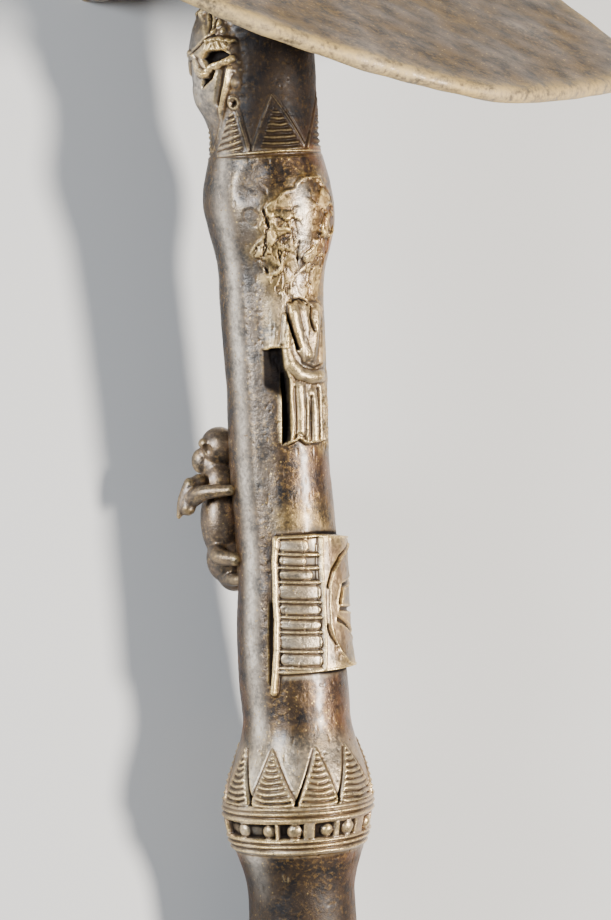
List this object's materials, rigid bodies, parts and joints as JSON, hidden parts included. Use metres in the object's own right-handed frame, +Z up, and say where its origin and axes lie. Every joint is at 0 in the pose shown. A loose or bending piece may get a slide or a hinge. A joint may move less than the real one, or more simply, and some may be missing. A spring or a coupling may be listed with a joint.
{
  "type": "ceremonial mace",
  "caption": "Cast brass ceremonial mace: round shaft with toothed collars and reliefs, a half-moon blade set across its head and a short curled poll.",
  "frame": {"origin": "on the surface the mace lies on, under the middle of its bounding box", "axes": "+Z up from the surface, +Y along the lying mace from butt to head, +X to the right seen from above with the head away"},
  "size_m": [0.1928, 0.4596, 0.15],
  "materials": {
    "aged_brass": "old dark brown patina on cast brass, worn golden on raised edges, ochre crust in the hollows"
  },
  "bodies": {
    "root": {"mace": "aged_brass"}
  },
  "joints": []
}
